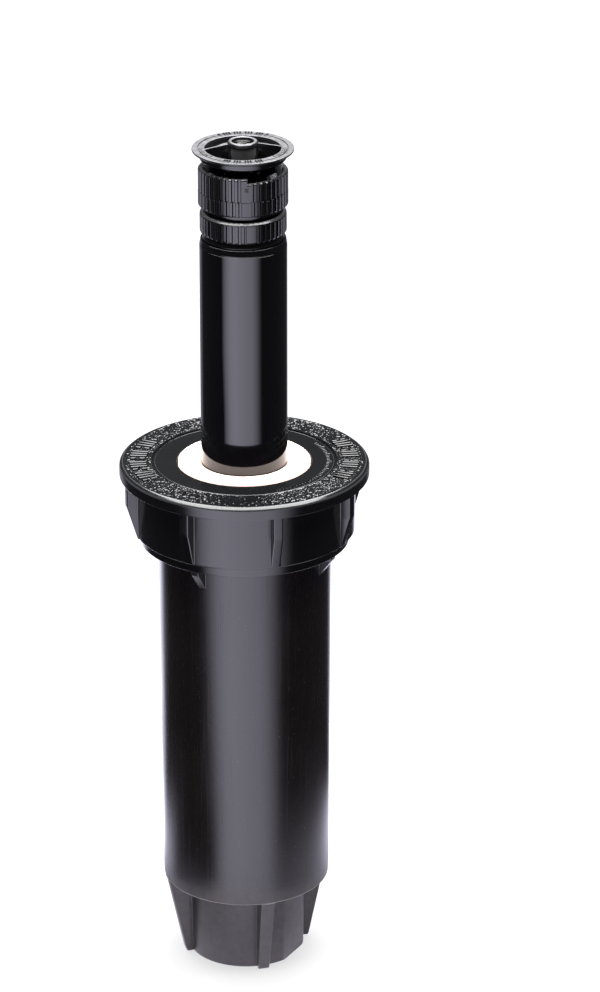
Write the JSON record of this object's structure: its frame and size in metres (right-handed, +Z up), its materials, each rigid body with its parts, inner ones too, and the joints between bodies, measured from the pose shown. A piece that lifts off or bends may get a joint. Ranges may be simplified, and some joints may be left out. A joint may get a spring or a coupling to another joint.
{
  "type": "pop-up sprinkler",
  "caption": "Pop-up lawn sprinkler: finned inlet boss, slim case, wide ribbed screw cap with a wiper seal, sliding riser and a turning nozzle with knurled adjusting rings.",
  "frame": {"origin": "centre of the inlet's end face, at the foot of the case", "axes": "+Z up along the riser; the fins of the inlet boss lie on X and Y"},
  "size_m": [0.0572, 0.0572, 0.2008],
  "materials": {
    "case_plastic": "satin black moulded plastic with fine vertical scuffs",
    "cap_plastic": "black plastic, stippled outer band and smooth inner ring",
    "riser_plastic": "polished black plastic",
    "nozzle_plastic": "semi-gloss black plastic with knurled rings",
    "seal_white": "smooth white soft plastic",
    "black_rubber": "dull rubber",
    "grey_plastic": "natural grey moulded plastic",
    "screen_plastic": "dull grey moulded plastic",
    "spring_steel": "bright stainless steel"
  },
  "bodies": {
    "case": {"case_body": "case_plastic", "cap_gasket": "black_rubber"},
    "spring_seat": {"spring_washer": "grey_plastic", "retraction_spring": "spring_steel"},
    "cap": {"cap": "cap_plastic", "wiper_seal": "seal_white"},
    "guide": {"ratchet_guide": "grey_plastic"},
    "riser": {"riser_stem": "riser_plastic", "check_valve_seal": "black_rubber", "check_valve_retainer": "grey_plastic", "filter_screen": "screen_plastic", "nozzle_base": "nozzle_plastic", "nozzle_gasket": "black_rubber", "arc_valve_seat": "nozzle_plastic", "return_spring": "spring_steel"},
    "radius_control": {"radius_ring": "nozzle_plastic", "throttle_ring": "grey_plastic"},
    "arc_control": {"arc_collar": "nozzle_plastic"},
    "shaft": {"deflector_shaft": "spring_steel", "brake_rotor": "nozzle_plastic", "shaft_screw": "spring_steel", "shaft_retainer": "grey_plastic"},
    "deflector": {"deflector": "nozzle_plastic", "brake_drum": "grey_plastic"}
  },
  "joints": [
    {"name": "cap_lift", "type": "slide", "parent": "case", "child": "spring_seat", "axis": [0, 0, 1], "range_m": [0, 0.0075]},
    {"name": "cap_turn", "type": "hinge", "parent": "spring_seat", "child": "cap", "pos_m": [0, 0, 0.115], "axis": [0, 0, 1], "range_deg": [0, 900]},
    {"name": "riser_slide", "type": "slide", "parent": "spring_seat", "child": "guide", "axis": [0, 0, 1], "range_m": [-0.071, 0], "deforming": ["retraction_spring"]},
    {"name": "stem_turn", "type": "hinge", "parent": "guide", "child": "riser", "pos_m": [0, 0, 0.1], "axis": [0, 0, 1], "continuous": true},
    {"name": "radius_turn", "type": "hinge", "parent": "riser", "child": "radius_control", "pos_m": [0, 0, 0.182], "axis": [0, 0, 1], "range_deg": [0, 30]},
    {"name": "arc_turn", "type": "hinge", "parent": "riser", "child": "arc_control", "pos_m": [0, 0, 0.19], "axis": [0, 0, 1], "range_deg": [-60, 120]},
    {"name": "nozzle_pop", "type": "slide", "parent": "riser", "child": "shaft", "axis": [0, 0, 1], "range_m": [-0.0015, 0], "deforming": ["return_spring"]},
    {"name": "deflector_spin", "type": "hinge", "parent": "shaft", "child": "deflector", "pos_m": [0, 0, 0.195], "axis": [0, 0, 1], "continuous": true}
  ],
  "couplings": [
    {"joint": "cap_lift", "follows": "cap_turn", "m_per_rad": 0.000477}
  ]
}
